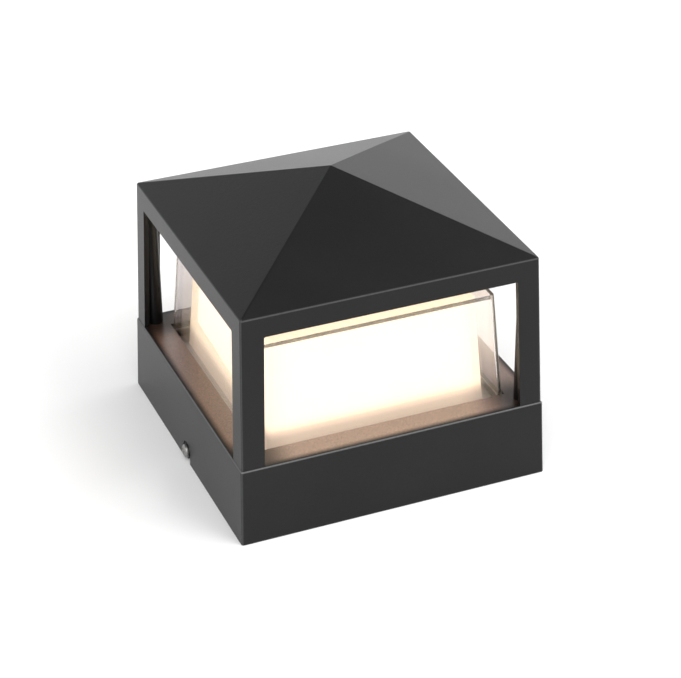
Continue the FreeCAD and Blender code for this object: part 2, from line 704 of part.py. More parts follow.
def earth_tag():
    """The ring tag that bonds the earth lead to the plate."""
    x, y = earth_place()
    low = PLATE_UNDER - EARTH_TAG_THICKNESS
    half = EARTH_TAG_WIDTH / 2
    ring = cylinder(EARTH_RING_RADIUS, x, y, low, PLATE_UNDER)
    barrel = block(x - EARTH_TAG_LENGTH, x, y - half, y + half, low, PLATE_UNDER)
    tag = ring.fuse(barrel).removeSplitter()
    return tag.cut(cylinder(M3_THREAD + CLEARANCE_HOLE_GAP, x, y, low - 1, PLATE_UNDER + 1))


def upward_screws(places, seat_z, length):
    screws = [pan_screw(x, y, seat_z, length, M3_THREAD, M3_HEAD, M3_HEAD_HEIGHT) for x, y in places]
    return Part.makeCompound(screws) if len(screws) > 1 else screws[0]


def mains_leads():
    """The two leads from the terminal block to the driver's face."""
    z = terminal_entry_height()
    exit_y = TERMINAL_PLACE_Y + TERMINAL_DEPTH / 2
    wall_y = DRIVER_PLACE_Y - DRIVER_WIDTH / 2
    third = (wall_y - exit_y) / 3
    leads = []
    for number, x in enumerate(terminal_pole_places()[:2]):
        end_x = -MAINS_LEAD_PLACE + (2 * number - 1) * MAINS_LEAD_SPACING / 2
        route = [(x, exit_y), (x, exit_y + third), (end_x, wall_y - third), (end_x, wall_y)]
        leads.append(lead([Vec(*place, z) for place in route]))
    return leads


def earth_lead():
    """The earth lead from the last pole round to the tag on the plate."""
    exit_y = TERMINAL_PLACE_Y + TERMINAL_DEPTH / 2
    x = terminal_pole_places()[-1]
    z = terminal_entry_height()
    tag_x, tag_y = earth_place()
    tag_end = tag_x - EARTH_TAG_LENGTH
    end_z = PLATE_UNDER - LEAD_RADIUS
    bend = EARTH_LEAD_BEND
    return lead(
        [
            Vec(x, exit_y, z),
            Vec(x, exit_y + bend, z),
            Vec(x + 2 * bend, exit_y + 1.5 * bend, z + bend / 3),
            Vec(tag_end - bend, exit_y, end_z),
            Vec(tag_end - bend / 2, tag_y, end_z),
            Vec(tag_end, tag_y, end_z),
        ]
    )


def board_leads():
    """The two low-voltage leads from the driver up through the plate to the board's connector."""
    wall_y = DRIVER_PLACE_Y - DRIVER_WIDTH / 2
    z = PLATE_UNDER - BOARD_LEAD_DROP
    top = BOARD_TOP + CONNECTOR_HEIGHT / 2
    bend = BOARD_LEAD_BEND
    leads = []
    for side in (-1, 1):
        start_x = side * BOARD_LEAD_SPACING / 2
        y = side * CONNECTOR_PITCH / 2
        leads.append(
            lead(
                [
                    Vec(start_x, wall_y, z),
                    Vec(start_x, wall_y - bend, z),
                    Vec(0, y, z + bend),
                    Vec(0, y, top - bend),
                    Vec(bend / 3, y, top),
                    Vec(connector_face(), y, top),
                ]
            )
        )
    return leads


# ---- cover ---------------------------------------------------------------------------------------
def bottom_cover():
    """The plate that closes the base from below."""
    plate = tapered(COVER_HALF, COVER_HEIGHT, COVER_HALF, COVER_TOP, CAST_CORNER_ROUND + 0.6)
    holes = [cylinder(GROMMET_RADIUS - GROMMET_LIP, 0, 0, COVER_HEIGHT - 1, COVER_TOP + 1)]
    holes.append(cylinder(VENT_RADIUS, VENT_PLACE_X, VENT_PLACE_Y, COVER_HEIGHT - 1, COVER_TOP + 1))
    for sx, sy in CORNERS:
        radius = M4_THREAD + CLEARANCE_HOLE_GAP
        holes.append(
            cylinder(radius, sx * BOSS_PLACE, sy * BOSS_PLACE, COVER_HEIGHT - 1, COVER_TOP + 1)
        )
    return plate.cut(holes)


def cover_gasket():
    """The flat ring between the cover and the base's ledge, with a tongue round each pillar."""
    ring = tapered(COVER_HALF, COVER_TOP, COVER_HALF, LEDGE_HEIGHT, CAST_CORNER_ROUND + 0.6)
    inside = base_half(LEDGE_HEIGHT) - BASE_WALL - COVER_LEDGE_WIDTH
    room = tapered(inside, COVER_TOP - 1, inside, LEDGE_HEIGHT + 1, CAST_CORNER_ROUND + 1.0)
    tongues = []
    holes = []
    for sx, sy in CORNERS:
        x, y = sx * BOSS_PLACE, sy * BOSS_PLACE
        tongues.append(cylinder(PILLAR_RADIUS, x, y, COVER_TOP, LEDGE_HEIGHT))
        tongues.append(
            block(
                min(x, sx * inside), max(x, sx * inside), min(y, sy * inside), max(y, sy * inside),
                COVER_TOP, LEDGE_HEIGHT,
            )
        )
        holes.append(cylinder(M4_THREAD + CLEARANCE_HOLE_GAP, x, y, COVER_TOP - 1, LEDGE_HEIGHT + 1))
    return ring.cut(room).fuse(tongues).removeSplitter().cut(holes)


def cable_grommet():
    """The rubber bush that the supply cable comes up through."""
    lip_low = COVER_HEIGHT - GROMMET_LIP_THICKNESS
    lip_high = COVER_TOP + GROMMET_LIP_THICKNESS
    groove = GROMMET_RADIUS - GROMMET_LIP
    profile = [
        (CABLE_RADIUS, lip_low), (GROMMET_RADIUS - 0.4, lip_low), (GROMMET_RADIUS, lip_low + 0.4),
        (GROMMET_RADIUS, COVER_HEIGHT), (groove, COVER_HEIGHT), (groove, COVER_TOP),
        (GROMMET_RADIUS, COVER_TOP), (groove, lip_high), (CABLE_RADIUS, lip_high),
    ]
    points = [Vec(r, 0, z) for r, z in profile]
    return Part.Face(Part.makePolygon(points + points[:1])).revolve(Vec(0, 0, 0), UP, 360)


def vent_plug():
    """The breather that lets pressure out and keeps water from coming in."""
    x, y = VENT_PLACE_X, VENT_PLACE_Y
    low = COVER_HEIGHT - VENT_CAP_HEIGHT
    cap = cylinder(VENT_RADIUS + VENT_FLANGE, x, y, low, COVER_HEIGHT)
    cap = cap.makeFillet(VENT_CAP_ROUND, [edge_at_height(cap, low)])
    stem = cylinder(VENT_RADIUS - THREAD_GAP, x, y, COVER_HEIGHT, COVER_TOP)
    return cap.fuse(stem).removeSplitter().cut(
        cylinder(VENT_HOLE_RADIUS, x, y, COVER_HEIGHT - 1, COVER_TOP + 1)
    )


def long_screws():
    """Four long screws: up through the cover and the base's pillars into the hood's columns."""
    length = BASE_HEIGHT + HOOD_SCREW_BITE - COVER_HEIGHT
    screws = [
        pan_screw(
            sx * BOSS_PLACE, sy * BOSS_PLACE, COVER_HEIGHT, length, M4_THREAD, M4_HEAD, M4_HEAD_HEIGHT
        )
        for sx, sy in CORNERS
    ]
    return Part.makeCompound(screws)


# ---- mounting bar and side screws ----------------------------------------------------------------
def mounting_bar():
    """The steel bar on the post, bent up into a threaded tab at each end."""
    outer = block(-TAB_FACE, TAB_FACE, -BAR_WIDTH / 2, BAR_WIDTH / 2, 0, TAB_TOP)
    inner_face = TAB_FACE - BAR_THICKNESS
    bar = outer.cut(
        block(-inner_face, inner_face, -BAR_WIDTH, BAR_WIDTH, BAR_THICKNESS, TAB_TOP + 1)
    )
    bends = [
        e for e in bar.Edges
        if all(abs(abs(v.Point.x) - TAB_FACE) < 1e-6 and abs(v.Point.z) < 1e-6 for v in e.Vertexes)
    ]
    bar = bar.makeFillet(BAR_BEND_ROUND, bends)
    for side in (1, -1):
        for edge in (1, -1):
            x_low, x_high = sorted((side * (inner_face - TAB_RELIEF), side * (TAB_FACE + 1)))
            y_low, y_high = sorted((edge * TAB_WIDTH / 2, edge * BAR_WIDTH))
            bar = bar.cut(block(x_low, x_high, y_low, y_high, -1, TAB_TOP + 1))
    bar = bar.cut(cylinder(BAR_CABLE_HOLE_RADIUS, 0, 0, -1, BAR_THICKNESS + 1))
    for sx, sy in CORNERS:
        x, y = sx * POST_HOLE_PLACE_X, sy * POST_HOLE_PLACE_Y
        bar = bar.cut(cylinder(POST_HOLE_RADIUS, x, y, -1, BAR_THICKNESS + 1))
    through = Part.makeCylinder(
        M4_THREAD + THREAD_GAP, 2 * TAB_FACE + 2, Vec(-TAB_FACE - 1, 0, SIDE_SCREW_HEIGHT), Vec(1, 0, 0)
    )
    return bar.cut(through)


def clinch_nuts():
    """The round nut pressed in behind each tab, that the side screw threads into."""
    nuts = []
    for side in (1, -1):
        foot = Vec(side * (TAB_FACE - BAR_THICKNESS), 0, SIDE_SCREW_HEIGHT)
        inward = Vec(-side, 0, 0)
        nut = Part.makeCylinder(SIDE_NUT_RADIUS, SIDE_NUT_THICKNESS, foot, inward)
        hole = Part.makeCylinder(M4_THREAD + THREAD_GAP, SIDE_NUT_THICKNESS, foot, inward)
        nuts.append(nut.cut(hole))
    return Part.makeCompound(nuts)


def turned_outward(shape, side):
    """Lays a piece made along Z, seat at height 0 and head below it, on to a side's screw axis."""
    shape.rotate(Vec(0, 0, 0), Vec(0, 1, 0), -90 * side)
    shape.translate(Vec(side * (SEAT_FACE + WASHER_GAP), 0, SIDE_SCREW_HEIGHT))
    return shape


def side_screw(side):
    """The pan-head screw that holds the lamp on its mounting bar."""
    seat = -(WASHER_THICKNESS + WASHER_GAP)
    reach = SEAT_FACE - TAB_FACE + BAR_THICKNESS + SIDE_NUT_THICKNESS + SIDE_SCREW_TIP - seat
    return turned_outward(
        pan_screw(0, 0, seat, reach, M4_THREAD, M4_HEAD, M4_HEAD_HEIGHT), side
    )


def side_washer(side):
    """The flat washer under the side screw's head."""
    ring = cylinder(WASHER_RADIUS, 0, 0, -WASHER_THICKNESS, 0)
    ring = ring.cut(cylinder(M4_THREAD + WASHER_GAP, 0, 0, -WASHER_THICKNESS - 1, 1))
    return turned_outward(ring, side)


# ---- the whole light -----------------------------------------------------------------------------
def build():
    live, neutral = mains_leads()
    minus, plus = board_leads()
    ear_seat = PLATE_UNDER - DRIVER_EAR_THICKNESS
    foot_seat = PLATE_UNDER - TERMINAL_FOOT
    tag_seat = PLATE_UNDER - EARTH_TAG_THICKNESS
    return {
        "base_housing": base_housing(),
        "hood": hood(),
        "clear_shade": clear_shade(),
        "shade_gasket": shade_gasket(),
        "opal_diffuser": opal_diffuser(),
        "heat_sink_plate": heat_sink_plate(),
        "heat_sink_screws": upward_screws(side_places(PLATE_SCREW_PLACE), PLATE_UNDER, PLATE_SCREW_LENGTH),
        "thermal_pad": board_outline(PLATE_TOP, BOARD_UNDER),
        "led_board": board_outline(BOARD_UNDER, BOARD_TOP),
        "led_chips": led_chips(),
        "board_connector": board_connector(),
        "board_screws": board_screws(),
        "led_driver": led_driver(),
        "driver_screws": upward_screws(driver_screw_places(), ear_seat, SMALL_SCREW_LENGTH),
        "terminal_block": terminal_block(),
        "terminal_fixing_screws": upward_screws(terminal_screw_places(), foot_seat, SMALL_SCREW_LENGTH),
        "terminal_clamp_screws": terminal_clamp_screws(),
        "earth_tag": earth_tag(),
        "earth_screw": upward_screws([earth_place()], tag_seat, EARTH_SCREW_LENGTH),
        "earth_lead": earth_lead(),
        "live_lead": live,
        "neutral_lead": neutral,
        "board_lead_minus": minus,
        "board_lead_plus": plus,
        "bottom_cover": bottom_cover(),
        "cover_gasket": cover_gasket(),
        "cable_grommet": cable_grommet(),
        "vent_plug": vent_plug(),
        "long_screws": long_screws(),
        "mounting_bar": mounting_bar(),
        "clinch_nuts": clinch_nuts(),
        "side_screw_left": side_screw(-1),
        "side_screw_right": side_screw(1),
        "side_washer_left": side_washer(-1),
        "side_washer_right": side_washer(1),
    }


def main():
    os.makedirs("parts", exist_ok=True)
    for name, shape in build().items():
        shape.exportStep(f"parts/{name}.step")
        print(f"{name:24s} solids {len(shape.Solids)} valid {shape.isValid()} volume {shape.Volume:.1f}")


main()
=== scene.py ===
"""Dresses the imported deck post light: finishes, detailed pieces, studio and camera."""

import math

import bmesh
import bpy
from mathutils import Matrix, Vector


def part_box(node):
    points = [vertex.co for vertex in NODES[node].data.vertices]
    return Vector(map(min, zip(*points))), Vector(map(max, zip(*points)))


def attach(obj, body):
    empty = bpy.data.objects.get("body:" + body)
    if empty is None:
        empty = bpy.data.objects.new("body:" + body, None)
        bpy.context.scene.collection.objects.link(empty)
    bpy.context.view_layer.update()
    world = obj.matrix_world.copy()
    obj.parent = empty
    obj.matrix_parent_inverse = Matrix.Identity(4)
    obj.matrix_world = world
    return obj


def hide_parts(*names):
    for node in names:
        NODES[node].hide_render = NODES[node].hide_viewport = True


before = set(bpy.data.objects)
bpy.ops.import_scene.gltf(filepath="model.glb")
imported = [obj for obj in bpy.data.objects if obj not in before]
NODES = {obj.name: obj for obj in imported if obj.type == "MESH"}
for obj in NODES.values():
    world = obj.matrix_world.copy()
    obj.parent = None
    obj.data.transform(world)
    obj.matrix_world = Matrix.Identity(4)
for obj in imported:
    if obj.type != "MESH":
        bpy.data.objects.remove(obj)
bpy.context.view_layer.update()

# ---- sizes, in metres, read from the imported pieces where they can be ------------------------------
MM = 0.001
CAST_SLOPE = math.tan(math.radians(2.0))  # draft of the two castings
SHADE_SLOPE = math.tan(math.radians(3.9))  # draft of shade and diffuser
ROOF_RISE = 27.4 * MM

BASE_HALF, _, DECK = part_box("base_housing")[1]
HOOD_HALF, _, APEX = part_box("hood")[1]
DECK_HALF = BASE_HALF - DECK * CAST_SLOPE
EAVE = APEX - ROOF_RISE
EAVE_HALF = HOOD_HALF - (EAVE - DECK) * CAST_SLOPE
COVER_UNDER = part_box("bottom_cover")[0][2]

SHADE_FOOT_HALF = 59.8 * MM  # where the shade comes through the deck
SHADE_WALL = 1.3 * MM
SHADE_CEILING = 2.4 * MM
SHADE_CORNER = 1.6 * MM
SHADE_EDGE = 0.6 * MM
FLANGE_HEIGHT = 3.0 * MM
FLANGE_CORNER = 2.6 * MM
OPAL_WALL = 2.0 * MM
OPAL_CORNER = 2.5 * MM
OPAL_EDGE = 1.0 * MM
INNER_CORNER = 1.0 * MM  # inside both cups
INNER_EDGE = 0.4 * MM

M4_RADIUS = 2.0 * MM
M4_PITCH = 0.7 * MM
PAN_RADIUS = 4.0 * MM
PAN_HEIGHT = 2.4 * MM
SIDE_PAN_RADIUS = 3.2 * MM
SIDE_PAN_HEIGHT = 1.9 * MM

LEDS_PER_SIDE = 5
LED_LENGTH = 3.5 * MM
LED_WIDTH = 2.8 * MM
LED_RIM = 0.45 * MM
LED_WINDOW_DEPTH = 0.15 * MM
LED_PITCH = (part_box("led_chips")[1][0] - LED_LENGTH / 2) / (LEDS_PER_SIDE // 2)
TRACK_GAP = 0.11  # half the bare strip between two tracks, as a share of the pitch
SOFT_EDGE_ANGLE = math.radians(28.0)

# ---- tones, as linear red, green and blue ---------------------------------------------------------
COAT_TONE = (0.0032, 0.0032, 0.0033)
COVER_TONE = (0.020, 0.0205, 0.022)
# edges lightened as rubbed wear and as a painted highlight
RUBBED_AND_HIGHLIGHT_TONE = (0.62, 0.62, 0.63)
# painted pool of the lamp's warm light, laid on the deck round the shade
PAINTED_DECK_GLOW_TONE = (0.24, 0.12, 0.072)
STAINLESS = (0.60, 0.59, 0.57)
BRASS = (0.74, 0.55, 0.24)
DULL_STAINLESS = (0.36, 0.355, 0.345)
# the side washers are drawn dark as painted shade beside the screw heads
WASHER_PAINTED_SHADE_TONE = (0.035, 0.035, 0.036)

# ---- the photograph's view ------------------------------------------------------------------------
PHOTO_WIDTH = 681
FOCAL_PIXELS = 2231.5
SENSOR_WIDTH = 36.0
CAMERA_PLACE = (-0.337844, -0.8371116, 0.58800074)
CAMERA_FORWARD = (0.32441683, 0.79465519, -0.51310512)
CAMERA_UP = (0.20314052, 0.47125764, 0.85828326)
FLOOR_RADIUS = 6.0
FLOOR_DROP = 0.2 * MM


# ---- shader expressions --------------------------------------------------------------------------
def plug(tree, entry, value):
    """Links a field to a node's input, or sets the input to a plain value."""
    if isinstance(value, Field):
        tree.links.new(value.socket, entry)
    else:
        entry.default_value = value


class Field:
    """A value that varies over a surface, with ordinary arithmetic."""

    def __init__(self, tree, socket):
        self.tree, self.socket = tree, socket

    @classmethod
    def made(cls, tree, kind, settings, values, out=0):
        """One output of a new node, which gets its settings first and then its inputs."""
        node = tree.nodes.new(kind)
        for name, value in settings.items():
            setattr(node, name, value)
        for key, value in values.items():
            plug(tree, node.inputs[key], value)
        return cls(tree, node.outputs[out])

    def math(self, operation, *others):
        values = dict(enumerate((self, *others)))
        return Field.made(self.tree, "ShaderNodeMath", {"operation": operation}, values)

    def __add__(self, other):
        return self.math("ADD", other)

    def __sub__(self, other):
        return self.math("SUBTRACT", other)

    def __mul__(self, other):
        return self.math("MULTIPLY", other)

    def __neg__(self):
        return self.math("MULTIPLY", -1.0)

    def __abs__(self):
        return self.math("ABSOLUTE")

    def __rsub__(self, other):
        return -self + other

    __radd__, __rmul__ = __add__, __mul__

    def larger(self, other):
        return self.math("MAXIMUM", other)

    def smaller(self, other):
        return self.math("MINIMUM", other)

    def rise(self, low, high):
        """0 below low, 1 above high, and smooth between them."""
        values = {"Value": self, "From Min": low, "From Max": high}
        smooth = {"interpolation_type": "SMOOTHSTEP"}
        return Field.made(self.tree, "ShaderNodeMapRange", smooth, values)

    def near(self, value, width):
        """1 at value, falling to 0 a width away."""
        return 1.0 - abs(self - value).rise(0.0, width)


class Finish:
    """One procedural material. Its textures run over the object's own coordinates, in metres."""

    def __init__(self, name, **sockets):
        self.material = bpy.data.materials.new(name)
        self.material.use_nodes = True
        self.tree = self.material.node_tree
        self.shader = self.tree.nodes["Principled BSDF"]
        self.set(**sockets)
        self.place = self.node("ShaderNodeTexCoord", {}, {}, "Object")
        split = self.node("ShaderNodeSeparateXYZ", {}, {0: self.place}).socket.node
        self.x, self.y, self.z = (Field(self.tree, socket) for socket in split.outputs)

    @property
    def outward(self):
        """How far a point lies from the axis, square to the nearest side of the light."""
        return abs(self.x).larger(abs(self.y))

    @property
    def along(self):
        """How far it lies from the middle of that side."""
        return abs(self.x).smaller(abs(self.y))

    def node(self, kind, settings, values, out=0):
        return Field.made(self.tree, kind, settings, values, out)

    def stretched(self, x, y, z):
        settings = {"operation": "MULTIPLY"}
        return self.node("ShaderNodeVectorMath", settings, {0: self.place, 1: (x, y, z)})

    def noise(self, scale, detail=2.0, roughness=0.5, place=None):
        """Cloudy tone between 0 and 1, with about scale patches to a metre."""
        values = {"Vector": place or self.place, "Scale": scale}
        values.update({"Detail": detail, "Roughness": roughness})
        return self.node("ShaderNodeTexNoise", {}, values, "Fac")

    def cells(self, scale):
        """Flat patches, each of one random tone between 0 and 1."""
        values = {"Vector": self.place, "Scale": scale}
        patch = self.node("ShaderNodeTexVoronoi", {}, values, "Color")
        return self.node("ShaderNodeSeparateColor", {}, {"Color": patch}, 0)

    def mix(self, factor, *colours):
        """Between two colours, each a field or a plain red, green and blue."""
        low, high = ((*tone, 1.0) if isinstance(tone, tuple) else tone for tone in colours)
        values = {0: factor, 6: low, 7: high}
        return self.node("ShaderNodeMix", {"data_type": "RGBA"}, values, 2)

    def set(self, **sockets):
        for socket, value in sockets.items():
            plug(self.tree, self.shader.inputs[socket.replace("_", " ")], value)

    def bump(self, height, depth):
        """Raises the surface by height, where 1 stands for depth in metres."""
        values = {"Height": height, "Distance": depth, "Strength": 1.0}
        self.set(Normal=self.node("ShaderNodeBump", {}, values, "Normal"))


# ---- finishes ------------------------------------------------------------------------------------
def powder_coat(name, wear_and_highlight_of, tone=COAT_TONE, gloss_and_glow_of=None):
    """Satin fine-texture powder coat. The edges that the first mask picks out are lighter: rubbed wear
    and a painted highlight. Where a deck mask is given, the deck gets a glossier coat and a painted
    pool of the lamp's warm light.
    """
    coat = Finish(name, IOR=1.34)
    grain = coat.noise(2300.0, 2.0, 0.6)
    peel = coat.noise(620.0, 2.0, 0.55)
    cloud = coat.noise(21.0, 3.0, 0.5)
    wear_and_highlight = wear_and_highlight_of(coat) * (0.6 + coat.noise(900.0, 3.0, 0.7).rise(0.2, 0.6) * 0.4)
    light = tuple(channel * 1.9 for channel in tone)
    tint = coat.mix((grain * 0.45 + cloud * 0.55).rise(0.3, 0.75), tone, light)
    if gloss_and_glow_of:
        gloss_and_glow = gloss_and_glow_of(coat)
        coat.set(Coat_Weight=gloss_and_glow, Coat_IOR=2.0, Coat_Roughness=0.28)
        # painted pool of the lamp's warm light on the deck, where the coat is also glossier
        tint = coat.mix(gloss_and_glow * (0.3 + grain.rise(0.35, 0.65) * 0.7), tint, PAINTED_DECK_GLOW_TONE)
    # edges lightened: rubbed bare coat and a painted highlight
    coat.set(Base_Color=coat.mix(wear_and_highlight, tint, RUBBED_AND_HIGHLIGHT_TONE))
    coat.set(Roughness=0.26 + grain * 0.10 + cloud * 0.06 - wear_and_highlight * 0.06)
    coat.bump(grain * 0.5 + peel * 0.5, 0.00008)
    return coat.material


def hood_edges(coat):
    """The eave and the outer corners of the posts, lightened as rubbed wear; along the eave the
    lightening is also a painted highlight.
    """
    at_wall = coat.outward.rise(EAVE_HALF - 1.1 * MM, EAVE_HALF - 0.5 * MM)
    eave = coat.z.near(EAVE - 0.3 * MM, 0.5 * MM) * at_wall
    at_corner = coat.along.rise(EAVE_HALF - 1.8 * MM, EAVE_HALF - 0.8 * MM)
    corner = (coat.outward - coat.along).near(0.0, 0.9 * MM) * at_corner
    return (eave + corner).smaller(1.0) * 0.06


def base_edges(coat):
    """The rim of the deck, the foot and the outer corners, lightened as rubbed wear; along the rim the
    lightening is also a painted highlight.
    """
    at_wall = coat.outward.rise(DECK_HALF - 0.77 * MM, DECK_HALF - 0.57 * MM)
    # painted highlight along the deck's rim, over some rubbed wear
    rim = coat.z.near(DECK - 0.4 * MM, 0.5 * MM) * at_wall
    at_corner = coat.along.rise(DECK_HALF - 1.47 * MM, DECK_HALF - 0.87 * MM)
    corner = (coat.outward - coat.along).near(0.0, 1.2 * MM) * at_corner
    foot = 1.0 - coat.z.rise(0.0, 0.6 * MM)
    return (rim * 0.16 + corner * 0.06 + foot * 0.05).smaller(1.0)


def cover_edges(coat):
    """The lower edge of the bottom cover."""
    return (1.0 - coat.z.rise(COVER_UNDER - 0.5 * MM, COVER_UNDER + 0.5 * MM)) * 0.02


def deck_gloss_and_painted_glow(coat):
    """The deck round the shade's foot, where the coat lies thicker and shines more, and where the
    lamp's warm light is painted on as a pool of light that fades towards the rim and the corners.
    """
    on_deck = coat.z.rise(DECK - 0.3 * MM, DECK - 0.1 * MM)
    inside_rim = 1.0 - coat.outward.rise(DECK_HALF - 4.67 * MM, DECK_HALF - 0.47 * MM)
    fade_end = SHADE_FOOT_HALF + 1.2 * MM
    off_corner = 1.0 - coat.along.rise(fade_end - 17.0 * MM, fade_end) * 0.85
    return on_deck * inside_rim * off_corner


def clear_plastic():
    clear = Finish("clear_moulding", IOR=1.42, Transmission_Weight=1.0, Alpha=0.9)
    streak = clear.noise(90.0, 3.0, 0.6, clear.stretched(1.0, 1.0, 0.2))
    clear.set(Base_Color=clear.mix(streak, (0.980, 0.945, 0.945), (0.960, 0.920, 0.915)))
    clear.set(Roughness=0.004 + streak * 0.022)
    clear.bump(clear.noise(38.0, 1.0), 0.00004)
    return clear.material


def opal_glow():
    """Opal plastic lit from inside: cream in the middle, amber towards the edges and the foot."""
    opal = Finish("opal_lit", Roughness=0.42, Emission_Strength=1.5)
    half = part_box("opal_diffuser")[1][0]
    foot = 1.0 - opal.z.rise(DECK - 2.0 * MM, DECK + 7.0 * MM)
    side = opal.along.rise(half - 13.5 * MM, half)
    cloud = opal.noise(45.0, 2.0)
    heart = 1.0 - foot * 0.80 - side * 0.14 - cloud * 0.05
    glow = opal.mix(heart, (0.30, 0.235, 0.19), (1.0, 0.83, 0.60))
    opal.set(Emission_Color=glow)
    opal.set(Base_Color=opal.mix(cloud, (0.26, 0.21, 0.15), (0.30, 0.25, 0.18)))
    opal.bump(opal.noise(1500.0, 2.0), 0.00001)
    return opal.material


def steel(name, tone=STAINLESS, rough=0.26, grain=(1.0, 1.0, 1.0)):
    """Plain metal with fine drawn lines, smears and small pits."""
    metal = Finish(name, Metallic=1.0)
    lines = metal.noise(2600.0, 3.0, 0.6, metal.stretched(*grain))
    smear = metal.noise(160.0, 3.0, 0.6)
    pits = metal.noise(3400.0, 2.0).rise(0.64, 0.74)
    dark = tuple(channel * 0.72 for channel in tone)
    metal.set(Base_Color=metal.mix(lines * 0.4 + smear * 0.6, dark, tone))
    metal.set(Roughness=rough + smear * 0.14 + lines * 0.08)
    metal.bump(lines * 0.5 - pits * 0.5, 0.00002)
    return metal.material


def zinc(name):
    """Zinc plate: soft spangles, streaks and a dull bloom."""
    plate = Finish(name, Metallic=1.0)
    shade = plate.cells(260.0)
    bloom = plate.noise(60.0, 4.0, 0.65)
    tone = (shade * 0.45 + bloom * 0.55).rise(0.2, 0.85)
    plate.set(Base_Color=plate.mix(tone, (0.42, 0.43, 0.45), (0.66, 0.67, 0.69)))
    plate.set(Roughness=0.30 + bloom * 0.22 + shade * 0.08)
    plate.bump(bloom * 0.5 + plate.noise(1900.0, 2.0) * 0.5, 0.00003)
    return plate.material


def moulded(name, tone, rough=0.45, grain=1200.0, depth=0.00003):
    """Moulded plastic, rubber or sheet: fine texture, faint mottling and rubbed patches."""
    plastic = Finish(name)
    fine = plastic.noise(grain, 2.0, 0.6)
    cloud = plastic.noise(75.0, 3.0, 0.55)
    low = tuple(channel * 0.82 for channel in tone)
    high = tuple(min(channel * 1.18, 1.0) for channel in tone)
    plastic.set(Base_Color=plastic.mix((fine * 0.35 + cloud * 0.65).rise(0.3, 0.7), low, high))
    plastic.set(Roughness=rough + cloud * 0.12 - fine * 0.06)
    plastic.bump(fine, depth)
    return plastic.material


def printed_board():
    """White solder mask over copper: the tracks that join the rows stand up a little."""
    board = Finish("board_mask")
    row = (board.y * (1.0 / LED_PITCH)).math("FRACT").near(0.5, TRACK_GAP)
    track = 1.0 - row
    cloud = board.noise(120.0, 3.0)
    board.set(Base_Color=board.mix(track * 0.25 + cloud * 0.2, (0.90, 0.90, 0.88), (0.78, 0.79, 0.76)))
    board.set(Roughness=0.32 + cloud * 0.1)
    board.bump(track * 0.8 + board.noise(900.0, 2.0) * 0.2, 0.00003)
    return board.material


def striped_lead():
    """Green and yellow insulation with a narrow twist of stripes."""
    lead = Finish("earth_stripes")
    twist = (lead.x * 260.0 + lead.y * 90.0 + lead.z * 700.0).math("FRACT")
    stripe = twist.rise(0.46, 0.54)
    lead.set(Base_Color=lead.mix(stripe, (0.08, 0.30, 0.05), (0.80, 0.62, 0.05)))
    lead.set(Roughness=0.34 + lead.noise(300.0) * 0.12)
    lead.bump(lead.noise(1500.0, 2.0), 0.00002)
    return lead.material


FINISHES = {
    "base_housing": powder_coat("powder_base", base_edges, gloss_and_glow_of=deck_gloss_and_painted_glow),
    "hood": powder_coat("powder_hood", hood_edges),
    "bottom_cover": powder_coat("powder_cover", cover_edges, COVER_TONE),
    "shade_gasket": moulded("silicone_seal", (0.55, 0.55, 0.53), 0.5, 900.0),
    "cover_gasket": moulded("silicone_cover_seal", (0.50, 0.50, 0.49), 0.5, 900.0),
    "heat_sink_plate": steel("milled_plate", (0.78, 0.79, 0.80), 0.28, (0.06, 1.0, 1.0)),
    "heat_sink_screws": steel("stainless_small"),
    "thermal_pad": moulded("soft_pad", (0.22, 0.32, 0.45), 0.6, 700.0),
    "led_board": printed_board(),
    "board_connector": moulded("connector_white", (0.82, 0.81, 0.78), 0.4),
    "board_screws": steel("stainless_board"),
    "led_driver": moulded("driver_shell", (0.70, 0.70, 0.68), 0.42, 1400.0, 0.00004),
    "driver_screws": steel("stainless_driver"),
    "terminal_block": moulded("terminal_cream", (0.72, 0.66, 0.52), 0.38),
    "terminal_fixing_screws": steel("stainless_terminal"),
    "terminal_clamp_screws": steel("brass_clamp", BRASS, 0.24),
    "earth_tag": steel("tinned_tag", (0.70, 0.68, 0.63), 0.30),
    "earth_screw": steel("brass_earth", BRASS, 0.24),
    "earth_lead": striped_lead(),
    "live_lead": moulded("lead_brown", (0.14, 0.06, 0.03), 0.34),
    "neutral_lead": moulded("lead_blue", (0.03, 0.10, 0.38), 0.34),
    "board_lead_minus": moulded("lead_black", (0.02, 0.02, 0.02), 0.34),
    "board_lead_plus": moulded("lead_red", (0.45, 0.02, 0.02), 0.34),
    "cable_grommet": moulded("bush_rubber", (0.018, 0.018, 0.018), 0.6, 800.0, 0.00005),
    "vent_plug": moulded("vent_nylon", (0.025, 0.025, 0.026), 0.45, 1500.0),
    "mounting_bar": zinc("zinc_bar"),
    "clinch_nuts": zinc("zinc_nuts"),
    # washers drawn dark: painted shade beside the side screw heads
    "side_washer_left": steel("washer_left", WASHER_PAINTED_SHADE_TONE, 0.45),
    "side_washer_right": steel("washer_right", WASHER_PAINTED_SHADE_TONE, 0.45),
}


def dress(node, material, bevel):
    """Gives a CAD node its finish and, where it needs them, softened edges."""
    piece = NODES[node]
    piece.data.materials.clear()
    piece.data.materials.append(material)
    if bevel:
        weld = piece.modifiers.new("joined_points", "WELD")
        weld.merge_threshold = 0.002 * MM
        soft = piece.modifiers.new("soft_edges", "BEVEL")
        soft.width, soft.segments = bevel, 2
        soft.limit_method, soft.angle_limit = "ANGLE", SOFT_EDGE_ANGLE


BEVELS = {
    "hood": 0.35 * MM,
    "base_housing": 0.3 * MM,
    "bottom_cover": 0.2 * MM,
    "mounting_bar": 0.3 * MM,
    "clinch_nuts": 0.2 * MM,
    "led_driver": 0.4 * MM,
    "terminal_block": 0.3 * MM,
}
for name, material in FINISHES.items():
    dress(name, material, BEVELS.get(name, 0.0))


